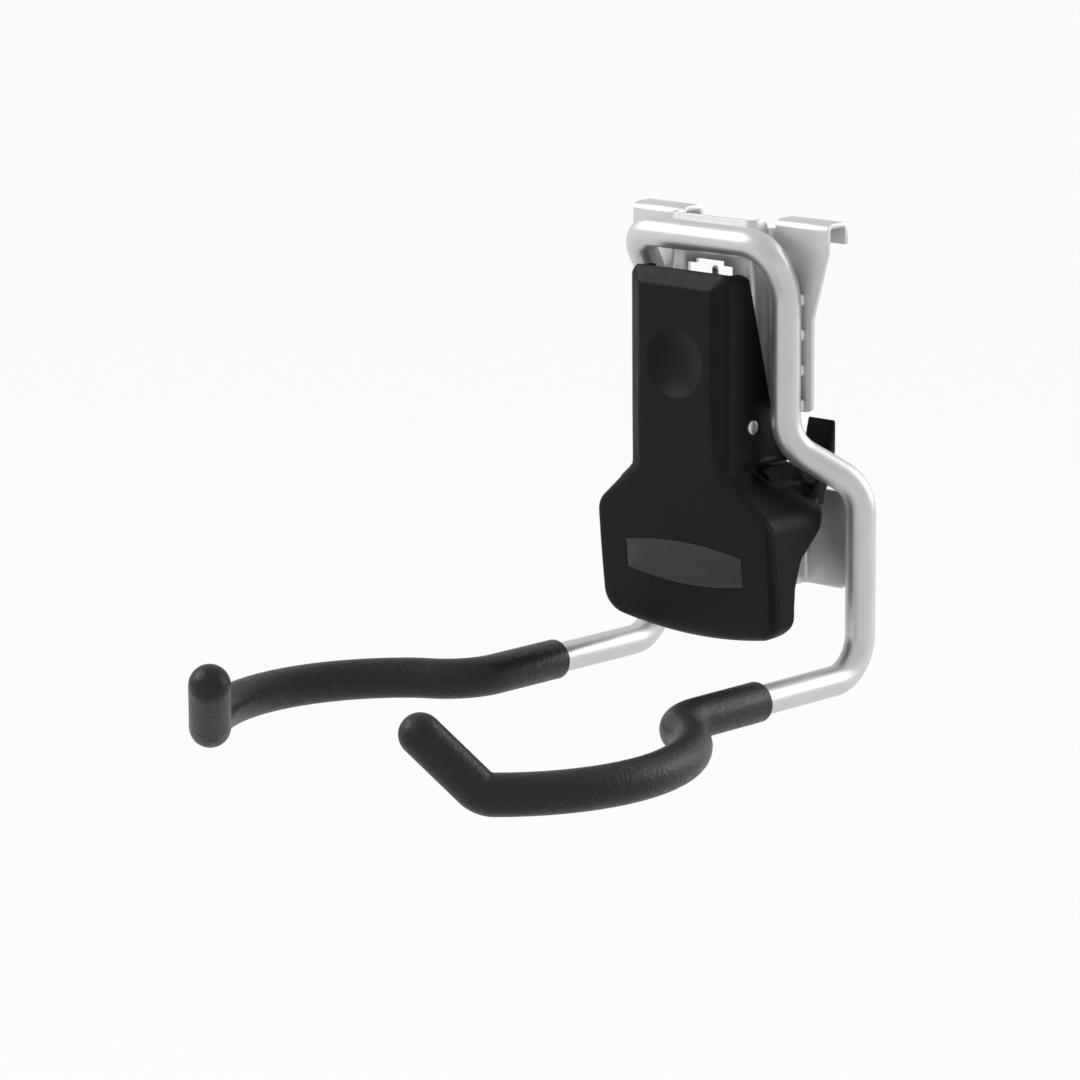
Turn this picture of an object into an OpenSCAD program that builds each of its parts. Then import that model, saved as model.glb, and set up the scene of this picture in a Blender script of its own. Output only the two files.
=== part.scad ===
// Power tool hook for a wall rail. A bent rod cradle with moulded grips is welded to a
// folded steel bracket, and a sprung latch lever on a pin locks the bracket to the rail.
// Millimetres. +Z is up, +Y is toward the wall. The origin is the middle of the slot
// under the two rail lips.

/* [Rod] */
// Rod diameter
rod_d = 9.5; // [8:0.5:11]
// Half spacing of the upper legs
upper_leg_x = 27.4; // [26:0.1:29]
// Half spacing of the lower legs
lower_leg_x = 42; // [41:0.5:60]
// Lean of the top loop from upright, degrees
loop_lean = 29.5; // [15:0.5:32]
// Bend radius of the top loop corners, on the centre line
loop_corner_r = 8.5; // [7:0.5:12]
// Straight between a top corner and the fold
loop_straight = 4.9; // [3:0.1:8]
// Bend radius of the fold, on the centre line
fold_r = 17; // [12:0.5:20]
// Height where the fold ends and the upright leg starts
fold_end_z = -24.5; // [-28:0.5:-24]
// Height where the dogleg starts
dogleg_top_z = -59.4; // [-64:0.5:-58]
// Bend radius of the dogleg
dogleg_r = 14.5; // [10:0.5:16]
// Bend angle of the dogleg
dogleg_angle = 58; // [56:1:70]
// Height of the arms
arm_z = -142.5; // [-180:0.5:-140]
// Bend radius where the legs turn into the arms
arm_bend_r = 13; // [8:0.5:20]
// Upward pitch of the arms, degrees
arm_pitch = 0.8; // [0:0.1:3]
// Bare length of an arm before its grip
arm_bare = 36.7; // [20:0.1:60]

/* [Grip] */
// Wall of a grip
grip_wall = 1.6; // [1:0.1:3]
// Straight start of a grip
grip_straight = 28.4; // [15:0.1:50]
// Radius of the outward bend
outward_r = 21.1; // [16:0.1:40]
// Angle of the outward bend
outward_angle = 61.9; // [40:0.1:70]
// Radius of the first inward bend
inward_r = 26.9; // [20:0.1:40]
// Angle of the first inward bend
inward_angle = 15.8; // [5:0.1:30]
// Radius of the long inward bend
bow_r = 58.3; // [45:0.1:80]
// Angle of the long inward bend
bow_angle = 92.9; // [80:0.1:100]
// Radius of the upturned tip bend
tip_r = 8; // [8:0.5:14]
// Angle of the upturned tip
tip_angle = 45; // [20:1:70]
// Straight of the upturned tip up to the middle of its ball end
tip_straight = 21.7; // [12:0.1:40]
// Length of the grip that stands past the end of the rod
grip_over = 1.5; // [1:0.5:5]

/* [Bracket] */
// Sheet thickness
sheet_t = 1.5; // [1.2:0.1:2]
// Inside radius of the folds
fold_in_r = 1.5; // [1:0.1:2]
// Half width of the channel, outside
channel_x = 17.2; // [16.6:0.1:17.4]
// Front face of the channel
web_y = -14; // [-14.6:0.1:-13]
// Depth of the slot that drops over the rail
lip_slot_w = 7.2; // [5:0.1:9]
// Outside radius of the lip folds
lip_r = 2.5; // [2:0.1:3.2]
// Inner end of a lip
lip_in_x = 19; // [18.9:0.1:22]
// Outer end of a lip
lip_out_x = 39.7; // [36:0.1:44]
// Drop of the back leg of a lip
lip_drop = 5.5; // [4:0.5:9]
// Width of the lower part of a wing, measured from the middle
wing_low_x = 33.7; // [33:0.1:36]
// Height where a wing starts to taper
wing_taper_z = -7.2; // [-12:0.1:-6.5]
// Height where the taper ends
wing_taper_end_z = -28.9; // [-34:0.1:-24]
// Lower end of a wing
wing_end_z = -57.9; // [-59:0.1:-54]
// Wall plane behind the hook
wall_y = 14.25; // [12.5:0.25:16]
// Half width over the wall flanges
flange_x = 33.5; // [28:0.5:40]
// Top of the wall flanges
flange_top_z = -86; // [-96:0.5:-86]
// Lower end of the bracket
bracket_end_z = -117.1; // [-124:0.1:-112]
// Corner radius of wings and flanges
corner_r = 2.5; // [1:0.5:4]

/* [Latch lever] */
// Pin diameter
pin_d = 4.5; // [4:0.1:5]
// Pin position in depth
pin_y = -16.5; // [-17:0.1:-16]
// Pin height
pin_z = -62.5; // [-63:0.1:-62]
// Running clearance of the pin in the bracket ears, on the radius
pin_clear = 0.05; // [0.02:0.01:0.1]
// Wall of the lever shell
lever_wall = 2.1; // [1.8:0.1:2.4]
// Gap between the lever and the channel sides
lever_gap = 0.5; // [0.3:0.1:1]
// Forward tilt of the lever front face, degrees
face_tilt = 4; // [2:0.5:5]
// Depth of the front face at the badge
face_y = -26.7; // [-28:0.1:-26]
// Height of the badge centre
badge_z = -106.8; // [-108:0.1:-104]
// Depth of the parting line of the upper part
seam_y = -27.6; // [-27.9:0.1:-27]
// Half width of the lower part of the lever
lever_low_x = 35.3; // [34.5:0.1:36]
// Corner radius of the lower part
lever_corner_r = 8; // [6:0.5:9]
// Top of the lever
lever_top_z = -12.7; // [-14:0.1:-12]
// Diameter of the thumb dimple
dimple_d = 22; // [16:0.5:26]
// Depth of the thumb dimple
dimple_depth = 2.5; // [1:0.1:3]
// Height of the thumb dimple
dimple_z = -42.5; // [-48:0.5:-38]
// Length of the badge panel
badge_l = 47.6; // [36:0.1:54]
// Height of the badge panel at its ends
badge_h = 9.3; // [6:0.1:12]
// Bow of the long edges of the badge panel
badge_bow = 2.3; // [1:0.1:3]
// Depth of the badge recess
badge_recess = 0.9; // [0.6:0.1:1.2]
// Gap around the badge panel
badge_gap = 0.1; // [0.05:0.05:0.3]

/* [Spring and welds] */
// Spring wire diameter
wire_d = 1.2; // [0.8:0.1:1.4]
// Coils on each side
coils = 4; // [3:1:5]
// Half spacing of the two wires of the long leg
long_leg_x = 1.1; // [0.9:0.1:2]
// Top of the long leg
long_leg_top_z = -12.6; // [-14:0.1:-12.3]
// Radius of a weld bead
bead_r = 2; // [1.6:0.1:2.4]
// Length of a weld bead
bead_l = 3.4; // [2:0.1:6]
// Spacing of the weld beads
bead_pitch = 11; // [8:0.1:11]
// Height of the top weld bead
bead_top_z = -22.6; // [-23.5:0.1:-22]

/* [Hidden] */
$fn = 40;
rod_fn = 16;
bend_fn = 36;
wire_fn = 13;
hair = 0.03;
joint_l = 0.3;
joint_gap = 0.05;
eps = 0.01;
rod_r = rod_d / 2;
wing_front_y = -lip_slot_w / 2 - sheet_t;
wing_back_y = wing_front_y + sheet_t;
leg_y = wing_front_y - rod_r;
low_leg_y = wall_y - rod_r;
fold_drop = (loop_corner_r + loop_straight);
bar_y = leg_y - fold_r * (1 - cos(loop_lean)) - fold_drop * sin(loop_lean);
bar_z = fold_end_z + fold_r * sin(loop_lean) + fold_drop * cos(loop_lean);
step_x = lower_leg_x - upper_leg_x;
step_y = low_leg_y - leg_y;
step_len = sqrt(step_x * step_x + step_y * step_y);
step_turn = atan2(step_x, step_y);
dogleg_straight = (step_len - 2 * dogleg_r * (1 - cos(dogleg_angle))) / sin(dogleg_angle);
dogleg_drop = 2 * dogleg_r * sin(dogleg_angle) + dogleg_straight * cos(dogleg_angle);
low_leg_len = dogleg_top_z - dogleg_drop - arm_z - arm_bend_r * cos(arm_pitch);

// Steps of the centre line: 0 is a straight, 1 a bend toward local +X, 2 a roll.
go = 0;
bend = 1;
roll = 2;
arm_path = [
  [go, upper_leg_x - loop_corner_r],
  [bend, loop_corner_r, 90],
  [go, loop_straight],
  [roll, -90],
  [bend, fold_r, loop_lean],
  [go, fold_end_z - dogleg_top_z],
  [roll, step_turn - 180],
  [bend, dogleg_r, dogleg_angle],
  [go, dogleg_straight],
  [roll, 180],
  [bend, dogleg_r, dogleg_angle],
  [go, low_leg_len],
  [roll, -step_turn],
  [bend, arm_bend_r, 90 + arm_pitch],
  [go, arm_bare],
  [go, grip_straight],
  [roll, -90],
  [bend, outward_r, outward_angle],
  [roll, 180],
  [bend, inward_r, inward_angle],
  [bend, bow_r, bow_angle],
  [roll, -90],
  [bend, tip_r, tip_angle],
  [go, tip_straight - grip_over],
  [go, grip_over]
];
grip_from = 15;
rod_to = 23;
grip_r = rod_r + grip_wall;

// Lip and bracket places
lip_top_z = sheet_t;
side_in_x = channel_x - sheet_t;
fold_out_r = fold_in_r + sheet_t;
relief_z = -1.6;
side_back_z = -69.5;
slot_top_z = -12.1;
slot_step_z = -13.6;
slot_end_z = -22;
slot_x = 5.65;
slot_low_x = 9.15;
window_in_x = 7;
window_h = 16;
ear_r = 5;
bead_count = floor((bead_top_z - bead_l / 2 - wing_end_z) / bead_pitch) + 1;

// Lever places
lever_x = channel_x + lever_gap + lever_wall;
lever_in_x = channel_x + lever_gap;
lip_x = lever_x + 0.3;
lever_back_top_z = lever_top_z - 1.2;
shoulder_z = -76.5;
shoulder_turn = 42.9;
corner_x = lever_low_x - lever_corner_r;
corner_top_z = -94.1;
bottom_z = -130.9;
bottom_r = 161.7;
corner_low_z = bottom_z + bottom_r
  - sqrt(pow(bottom_r - lever_corner_r, 2) - corner_x * corner_x);
low_turn = atan2(corner_x, bottom_z + bottom_r - corner_low_z);
edge_tilt = 7.2;
edge_y = seam_y;
jaw_out_x = 30.5;
coil_r = pin_d / 2 + 0.15 + wire_d / 2;
coil_pitch = wire_d * 0.96;
coil_in_x = side_in_x - 0.6 - wire_d / 2 - (coils - 1) * coil_pitch;

// Points of an arc about (cx, cz) from angle a0 to a1, up to point number last of n.
function arc(cx, cz, r, a0, a1, n, last) =
  [for (i = [0:last]) [cx + r * cos(a0 + (a1 - a0) * i / n), cz + r * sin(a0 + (a1 - a0) * i / n)]];

function flip(pts) = [for (i = [len(pts) - 1:-1:0]) [-pts[i][0], pts[i][1]]];

// A closed outline from its right half, whose last point lies on the middle.
function both(half) = concat(half, flip([for (i = [0:len(half) - 2]) half[i]]));

// Outer outline of the lower part of the lever, set in by d.
function low_half(d) = concat(
  [[corner_x + (lever_corner_r - d) * sin(shoulder_turn)
      - (shoulder_z - d - corner_top_z - (lever_corner_r - d) * cos(shoulder_turn))
        / tan(shoulder_turn),
    shoulder_z - d]],
  arc(corner_x, corner_top_z, lever_corner_r - d, 90 - shoulder_turn, 0, 6, 6),
  arc(corner_x, corner_low_z, lever_corner_r - d, 0, low_turn - 90, 10, 9),
  arc(0, bottom_z + bottom_r, bottom_r - d, low_turn - 90, -90, 6, 6));

function low_outline(d) = both(low_half(d));

// Outline of the flat front face of the lower part, in the tilted plane.
function face_half(d) = concat(
  [[14.2 - d, shoulder_z - badge_z - d]],
  arc(29.2, -90.6 - badge_z, 4 - d, 58, 0, 5, 5),
  arc(24.9, -117.2 - badge_z, 8.3 - d, 0, -80, 8, 8),
  arc(0, 50.4 - badge_z, 178 - d, -82, -90, 4, 4));

function face_outline(d) = both(face_half(d));

// A band over a joint of the centre line. It is a hair thicker than the rod, so that the
// straights and bends, which stop just short of each other, make one solid.
module joint(r) {
  translate([0, 0, -joint_l / 2])
    cylinder(h = joint_l, r = r + hair, $fn = rod_fn);
}

module along(path, i, r, from, to) {
  if (i <= to) {
    step = path[i];
    near = i > from ? joint_gap : 0;
    far = i < to ? joint_gap : 0;
    if (i > from && step[0] != roll)
      joint(r);
    if (step[0] == go) {
      if (i >= from)
        translate([0, 0, near])
          cylinder(h = step[1] - near - far, r = r, $fn = rod_fn);
      translate([0, 0, step[1]])
        along(path, i + 1, r, from, to);
    }
    if (step[0] == roll)
      rotate([0, 0, step[1]])
        along(path, i + 1, r, from, to);
    if (step[0] == bend) {
      cut = joint_gap / step[1] * 180 / PI;
      if (i >= from)
        translate([step[1], 0, 0])
          rotate([90, 0, 0])
            rotate([0, 0, 180 - step[2] + cut])
              rotate_extrude(angle = step[2] - 2 * cut, $fn = bend_fn)
                translate([step[1], 0])
                  circle(r, $fn = rod_fn);
      translate([step[1] * (1 - cos(step[2])), 0, step[1] * sin(step[2])])
        rotate([0, step[2], 0])
          along(path, i + 1, r, from, to);
    }
  }
}

module at_bar() {
  translate([0, bar_y, bar_z])
    rotate([loop_lean, 0, 0])
      rotate([0, 90, 0])
        children();
}

module mirrored() {
  children();
  mirror([1, 0, 0])
    children();
}

module rod_frame() {
  color("silver") {
    mirrored()
      at_bar()
        along(arm_path, 0, rod_r, 0, rod_to);
    at_bar()
      joint(rod_r);
  }
}

// The ball at the end of a grip, a hair larger than the grip so that it closes it.
module at_tip(path, i, to) {
  if (i <= to) {
    step = path[i];
    if (step[0] == go)
      translate([0, 0, step[1]])
        at_tip(path, i + 1, to)
          children();
    if (step[0] == roll)
      rotate([0, 0, step[1]])
        at_tip(path, i + 1, to)
          children();
    if (step[0] == bend)
      translate([step[1] * (1 - cos(step[2])), 0, step[1] * sin(step[2])])
        rotate([0, step[2], 0])
          at_tip(path, i + 1, to)
            children();
  } else {
    children();
  }
}

module grip() {
  last = len(arm_path) - 1;
  difference() {
    at_bar() {
      along(arm_path, 0, grip_r, grip_from, last);
      at_tip(arm_path, 0, last)
        sphere(grip_r + hair, $fn = 2 * rod_fn);
    }
    at_bar()
      along(arm_path, 0, rod_r, grip_from - 1, rod_to);
  }
}

module grip_right() {
  color("dimgray")
    grip();
}

module grip_left() {
  color("dimgray")
    mirror([1, 0, 0])
      grip();
}

// A quarter ring of sheet with its centre at (cx, cy), in the quadrant (sx, sy).
module quarter(cx, cy, sx, sy, r_in, r_out) {
  translate([cx, cy])
    intersection() {
      difference() {
        circle(r_out);
        circle(r_in);
      }
      translate([sx > 0 ? 0 : -r_out, sy > 0 ? 0 : -r_out])
        square(r_out);
    }
}

// Section of one half of the channel, up to the fold of its wing.
module channel_section() {
  translate([-eps, web_y])
    square([channel_x - fold_out_r + eps, sheet_t]);
  quarter(channel_x - fold_out_r, web_y + fold_out_r, 1, -1, fold_in_r, fold_out_r);
  translate([side_in_x, web_y + fold_out_r])
    square([sheet_t, wing_front_y - fold_in_r - web_y - fold_out_r]);
}

// The outward fold whose sheet ends on the plane y.
module fold_section(y) {
  quarter(channel_x + fold_in_r, y - fold_out_r, -1, 1, fold_in_r, fold_out_r);
}

module lip_section() {
  inner = lip_slot_w / 2;
  mid = inner + sheet_t - lip_r;
  translate([-inner - sheet_t, wing_taper_z])
    square([sheet_t, sheet_t - lip_r - wing_taper_z]);
  quarter(-mid, sheet_t - lip_r, -1, 1, lip_r - sheet_t, lip_r);
  translate([-mid, 0])
    square([2 * mid, sheet_t]);
  quarter(mid, sheet_t - lip_r, 1, 1, lip_r - sheet_t, lip_r);
  translate([inner, -lip_drop])
    square([sheet_t, sheet_t - lip_r + lip_drop]);
}

// Draws its child, given in (y, z), as a plate from x0 to x1.
module plate_x(x0, x1) {
  translate([x0, 0, 0])
    rotate([90, 0, 90])
      linear_extrude(x1 - x0)
        children();
}

// Draws its child, given in (x, z), as a plate from y0 to y1.
module plate_y(y0, y1) {
  translate([0, y1, 0])
    rotate([90, 0, 0])
      linear_extrude(y1 - y0)
        children();
}

module wing_outline() {
  fold_x = channel_x + fold_in_r;
  difference() {
    union() {
      polygon([
        [fold_x, relief_z], [lip_in_x, relief_z], [lip_in_x, wing_taper_z],
        [lip_in_x, relief_z], [lip_in_x + eps, wing_taper_z], [lip_out_x, wing_taper_z],
        [wing_low_x, wing_taper_end_z], [wing_low_x, wing_end_z + corner_r],
        [wing_low_x - corner_r, wing_end_z], [fold_x, wing_end_z]
      ]);
      translate([wing_low_x - corner_r, wing_end_z + corner_r])
        circle(corner_r);
    }
  }
}

module side_outline() {
  back = wing_back_y;
  polygon([
    [web_y + fold_out_r, wing_end_z], [wing_front_y - fold_in_r, wing_end_z],
    [back, wing_end_z - eps], [back, side_back_z],
    [wall_y - fold_out_r, side_back_z + back + fold_out_r - wall_y],
    [wall_y - fold_out_r, bracket_end_z], [web_y + fold_out_r, bracket_end_z]
  ]);
}

module bracket_half() {
  ear_y = web_y + fold_out_r;
  difference() {
    translate([0, 0, bracket_end_z])
      linear_extrude(lip_top_z - bracket_end_z)
        channel_section();
    translate([window_in_x, web_y - 1, pin_z - window_h / 2])
      cube([channel_x - window_in_x + 1, ear_y - web_y + 1, window_h]);
    translate([-1, web_y - 1, slot_step_z])
      cube([slot_x + 1, sheet_t + 2, slot_top_z - slot_step_z]);
    translate([-1, web_y - 1, slot_end_z])
      cube([slot_low_x + 1, sheet_t + 2, slot_step_z - slot_end_z + eps]);
    translate([side_in_x - 1, wing_front_y - fold_in_r - 3, lip_top_z - 3])
      plate_x(0, sheet_t + 2)
        difference() {
          square([4, 4]);
          circle(3);
        }
  }
  translate([0, 0, wing_end_z])
    linear_extrude(relief_z - wing_end_z)
      fold_section(wing_back_y);
  plate_y(wing_front_y, wing_back_y)
    wing_outline();
  plate_x(lip_in_x, lip_out_x)
    lip_section();
  plate_x(side_in_x, channel_x)
    side_outline();
  plate_x(side_in_x, channel_x)
    difference() {
      union() {
        translate([pin_y, pin_z - ear_r])
          square([ear_y - pin_y, 2 * ear_r]);
        translate([pin_y, pin_z])
          circle(ear_r);
      }
      translate([pin_y, pin_z])
        circle(pin_d / 2 + pin_clear);
    }
  translate([0, 0, bracket_end_z])
    linear_extrude(flange_top_z - bracket_end_z)
      fold_section(wall_y);
  plate_y(wall_y - sheet_t, wall_y)
    flange_outline();
}

module flange_outline() {
  fold_x = channel_x + fold_in_r;
  polygon([
    [fold_x, flange_top_z], [flange_x - corner_r, flange_top_z],
    [flange_x, flange_top_z - corner_r], [flange_x, bracket_end_z + corner_r],
    [flange_x - corner_r, bracket_end_z], [fold_x, bracket_end_z]
  ]);
  translate([flange_x - corner_r, flange_top_z - corner_r])
    circle(corner_r);
  translate([flange_x - corner_r, bracket_end_z + corner_r])
    circle(corner_r);
}

module bracket() {
  color("gainsboro")
    mirrored()
      bracket_half();
}

module weld_beads() {
  color("gainsboro")
    mirrored()
      for (i = [0:bead_count - 1])
        difference() {
          translate([upper_leg_x + rod_r - 0.5, leg_y + rod_r - 1,
                     bead_top_z - i * bead_pitch - bead_l / 2])
            cylinder(h = bead_l, r = bead_r);
          translate([upper_leg_x, leg_y, bead_top_z - i * bead_pitch - bead_l])
            cylinder(h = 2 * bead_l, r = rod_r);
          translate([upper_leg_x, wing_front_y, bead_top_z - i * bead_pitch - bead_l])
            cube([3 * bead_r + rod_r, 3 * bead_r, 2 * bead_l]);
        }
}

// Draws its children in the plane of the front face: local y is depth, z runs up it.
module in_face() {
  translate([0, face_y, badge_z])
    rotate([face_tilt, 0, 0])
      children();
}

// A thin slice of an outline, given in (x, z), at the depth d behind the plane.
module slice(d) {
  translate([0, d + eps, 0])
    rotate([90, 0, 0])
      linear_extrude(eps)
        children();
}

module upper_face(d) {
  top = 88.5 - d;
  polygon(concat(
    [[13.9 - d, 10]],
    arc(13.2 - d, top - 2.5, 2.5, 0, 90, 6, 6),
    flip(arc(13.2 - d, top - 2.5, 2.5, 0, 90, 6, 6)),
    [[d - 13.9, 10]]));
}

module upper_rim(x, top, r) {
  polygon(concat(
    [[x, shoulder_z - 12]],
    arc(x - r, top - r, r, 0, 90, 8, 8),
    flip(arc(x - r, top - r, r, 0, 90, 8, 8)),
    [[-x, shoulder_z - 12]]));
}

module at_edge() {
  translate([0, edge_y, shoulder_z])
    rotate([edge_tilt, 0, 0])
      translate([0, 0, -shoulder_z])
        children();
}

module lever_front() {
  hull() {
    in_face()
      slice(0)
        upper_face(0);
    translate([0, seam_y, 0])
      slice(0)
        upper_rim(lip_x, lever_top_z, 4);
  }
  hull() {
    in_face()
      slice(0)
        polygon(face_outline(0));
    at_edge()
      slice(0)
        polygon(low_outline(0));
  }
}

module lever_front_hollow() {
  hull() {
    in_face()
      slice(2.4)
        upper_face(1.6);
    translate([0, seam_y + 2.2, 0])
      slice(0)
        upper_rim(lever_in_x, lever_back_top_z - lever_wall, 1);
  }
  hull() {
    in_face()
      slice(2.4)
        polygon(face_outline(1.6));
    at_edge()
      slice(2.2)
        polygon(low_outline(lever_wall));
  }
}

module side_profile() {
  top = lever_back_top_z;
  polygon([
    [seam_y, top], [-20.6, top], [-18.6, top - 0.8], [-18, top - 2.2],
    [-7.75, -55.4], [-5.2, -65.5], [0, -72], [6, -76], [6, -88], [0, -100], [-20, -96],
    [seam_y, -90]
  ]);
}

module low_profile() {
  edge_low = edge_y + 54.4 * tan(edge_tilt);
  polygon(concat(
    [[edge_y, shoulder_z], [6, shoulder_z], [6, -88.3], [0.5, -92.6], [-5, -98.1],
     [-10.9, -103.4], [-13.9, -112.4], [-14.1, -118.3]],
    arc(-19.1, -122.6, 5, 0, -90, 6, 6),
    [[-19.1, -131.5], [edge_low, -131.5]]));
}

module jaw_profile() {
  polygon([
    [10.9, -62.7], [11.4, -63.4], [11.4, -72.6], [7.9, -83.2], [5.9, -85.8],
    [5.8, -89], [1, -89], [0.5, -82], [4.6, -79.6], [6.2, -78.5], [8.5, -70.5], [10.5, -63]
  ]);
}

module boss_profile() {
  polygon([
    [-17, -75.6], [-13.1, -74], [-5.7, -74.1], [-1.2, -75.7], [2, -80], [2, -84],
    [-6.2, -86], [-12.5, -81]
  ]);
}

module lever_shell() {
  difference() {
    union() {
      lever_front();
      plate_x(-lever_x, lever_x)
        side_profile();
      intersection() {
        plate_y(edge_y, 8)
          polygon(low_outline(hair));
        plate_x(-lever_low_x, lever_low_x)
          low_profile();
        linear_extrude(400, center = true)
          polygon([
            [-40, -40], [40, -40], [lever_low_x, -2], [jaw_out_x, 6],
            [-jaw_out_x, 6], [-lever_low_x, -2]
          ]);
      }
    }
    lever_front_hollow();
    at_edge()
      plate_y(2.1, 60)
        polygon(low_outline(lever_wall + 2 * hair));
    translate([-lever_in_x, seam_y + 2.1, shoulder_z - 14])
      cube([2 * lever_in_x, 60, lever_back_top_z - lever_wall - shoulder_z + 13.96]);
    translate([-lever_in_x - hair, -25, lever_back_top_z - lever_wall - 4])
      cube([2 * (lever_in_x + hair), 20, 12]);
  }
}

module latch_lever() {
  color("#2a2a2a")
    difference() {
      union() {
        lever_shell();
        in_face()
          translate([0, 1.2, (dimple_z - badge_z) / cos(face_tilt)])
            rotate([-90, 0, 0])
              cylinder(h = dimple_depth + 0.8, r = dimple_d / 2 + 1.5);
        mirrored() {
          plate_x(lever_x - 0.4, jaw_out_x)
            jaw_profile();
          plate_x(lever_x - 0.4, 25)
            boss_profile();
        }
      }
      in_face() {
        r = (dimple_d * dimple_d / 4 + dimple_depth * dimple_depth) / 2 / dimple_depth;
        translate([0, dimple_depth - r, (dimple_z - badge_z) / cos(face_tilt)])
          sphere(r, $fn = 80);
        translate([0, -1, 0])
          plate_y(0, 1 + badge_recess)
            badge_outline(badge_gap);
      }
      translate([-lip_x - 1, pin_y, pin_z])
        rotate([0, 90, 0])
          cylinder(h = 2 * lip_x + 2, r = pin_d / 2);
    }
}

// Outline of the badge panel, grown by g: straight ends and two bowed long edges.
module badge_outline(g) {
  half = badge_l / 2;
  r = (half * half + badge_bow * badge_bow) / 2 / badge_bow;
  intersection() {
    square([badge_l + 2 * g, badge_h + 4 * badge_bow], center = true);
    translate([0, badge_h / 2 + badge_bow - r])
      circle(r + g, $fn = 256);
    translate([0, r - badge_h / 2 - badge_bow])
      circle(r + g, $fn = 256);
  }
}

module badge_panel() {
  color("gray")
    in_face()
      plate_y(0.1, badge_recess)
        badge_outline(0);
}

module pivot_pin() {
  color("silver")
    translate([-lip_x, pin_y, pin_z])
      rotate([0, 90, 0])
        cylinder(h = 2 * lip_x, r = pin_d / 2);
}

// A straight piece of wire from a to b, both in (x, y, z).
module wire(a, b) {
  d = b - a;
  len = norm(d);
  translate(a)
    rotate([0, acos(d[2] / len), atan2(d[1], d[0])])
      cylinder(h = len, d = wire_d - 2 * hair, $fn = wire_fn);
  for (end = [a, b])
    translate(end)
      sphere(d = wire_d, $fn = wire_fn);
}

module torsion_spring() {
  front = pin_y - coil_r;
  top = long_leg_top_z - wire_d / 2 - long_leg_x;
  out_x = coil_in_x + (coils - 1) * coil_pitch;
  rest_z = pin_z + 14;
  rest_y = face_y - (rest_z - badge_z) * tan(face_tilt) + 2.4 / cos(face_tilt) + wire_d / 2;
  color("lightgray")
    mirrored() {
      for (i = [0:coils - 1])
        translate([coil_in_x + i * coil_pitch, pin_y, pin_z])
          rotate([0, 90, 0])
            rotate_extrude($fn = rod_fn)
              translate([coil_r, 0])
                circle(d = wire_d, $fn = wire_fn);
      wire([coil_in_x, front, pin_z], [coil_in_x, front, pin_z + 6]);
      wire([coil_in_x, front, pin_z + 6], [long_leg_x, -17, pin_z + 20]);
      wire([long_leg_x, -17, pin_z + 20], [long_leg_x, -17, top]);
      wire([out_x, front, pin_z], [out_x, rest_y, rest_z]);
      translate([0, -17, top])
        rotate([90, 0, 0])
          rotate_extrude(angle = 90, $fn = rod_fn)
            translate([long_leg_x, 0])
              circle(d = wire_d - 2 * hair, $fn = wire_fn);
    }
}

rod_frame();
grip_right();
grip_left();
bracket();
weld_beads();
latch_lever();
badge_panel();
pivot_pin();
torsion_spring();
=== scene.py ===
import logging
import math
from contextlib import contextmanager
from dataclasses import dataclass
from enum import Enum
from typing import Callable, Iterator

import bmesh
import bpy
from mathutils import Matrix, Vector
from mathutils.kdtree import KDTree


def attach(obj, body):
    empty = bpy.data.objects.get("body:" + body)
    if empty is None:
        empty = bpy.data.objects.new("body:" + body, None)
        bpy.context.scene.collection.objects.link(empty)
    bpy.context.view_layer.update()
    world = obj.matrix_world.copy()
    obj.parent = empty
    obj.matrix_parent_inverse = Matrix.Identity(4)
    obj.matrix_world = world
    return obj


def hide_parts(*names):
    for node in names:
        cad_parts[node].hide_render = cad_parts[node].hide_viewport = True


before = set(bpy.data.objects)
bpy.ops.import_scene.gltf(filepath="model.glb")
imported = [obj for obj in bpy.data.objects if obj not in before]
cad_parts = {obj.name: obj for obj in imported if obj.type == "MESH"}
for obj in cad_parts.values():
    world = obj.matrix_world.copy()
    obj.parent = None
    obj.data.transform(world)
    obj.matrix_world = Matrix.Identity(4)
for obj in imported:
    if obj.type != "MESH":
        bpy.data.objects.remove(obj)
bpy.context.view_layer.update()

LOG = logging.getLogger("power_tool_hook")
MM = 0.001
ON_MIDDLE = 0.01  # millimetres from x = 0 that still count as the middle plane
Pair = tuple[float, float]
Triple = tuple[float, float, float]
Socket = bpy.types.NodeSocket


class Body(Enum):
    """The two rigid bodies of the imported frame."""

    HOOK = "hook"
    LEVER = "lever"


class Slot(Enum):
    """The material slots of the record."""

    ROD = "satin_rod"
    SHEET = "satin_sheet"
    WELD = "weld_metal"
    GRIP = "soft_grip"
    MOULDING = "black_moulding"
    PANEL = "grey_panel"
    PIN = "bright_pin"
    SPRING = "spring_wire"


class Move(Enum):
    """What the rod does over one step of its centre line."""

    GO = "straight"
    BEND = "bend toward the local side"
    ROLL = "turn about the centre line"


class Relief(Enum):
    """The fine surface texture of a finish."""

    PEEL = "orange peel of a sprayed coat"
    PEBBLE = "pebbles of a soft moulding"
    SPARK = "spark texture of a hard moulding"
    TURNED = "rings of a turned end"
    DRAWN = "fine grain of drawn wire"


# Finishes


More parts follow.
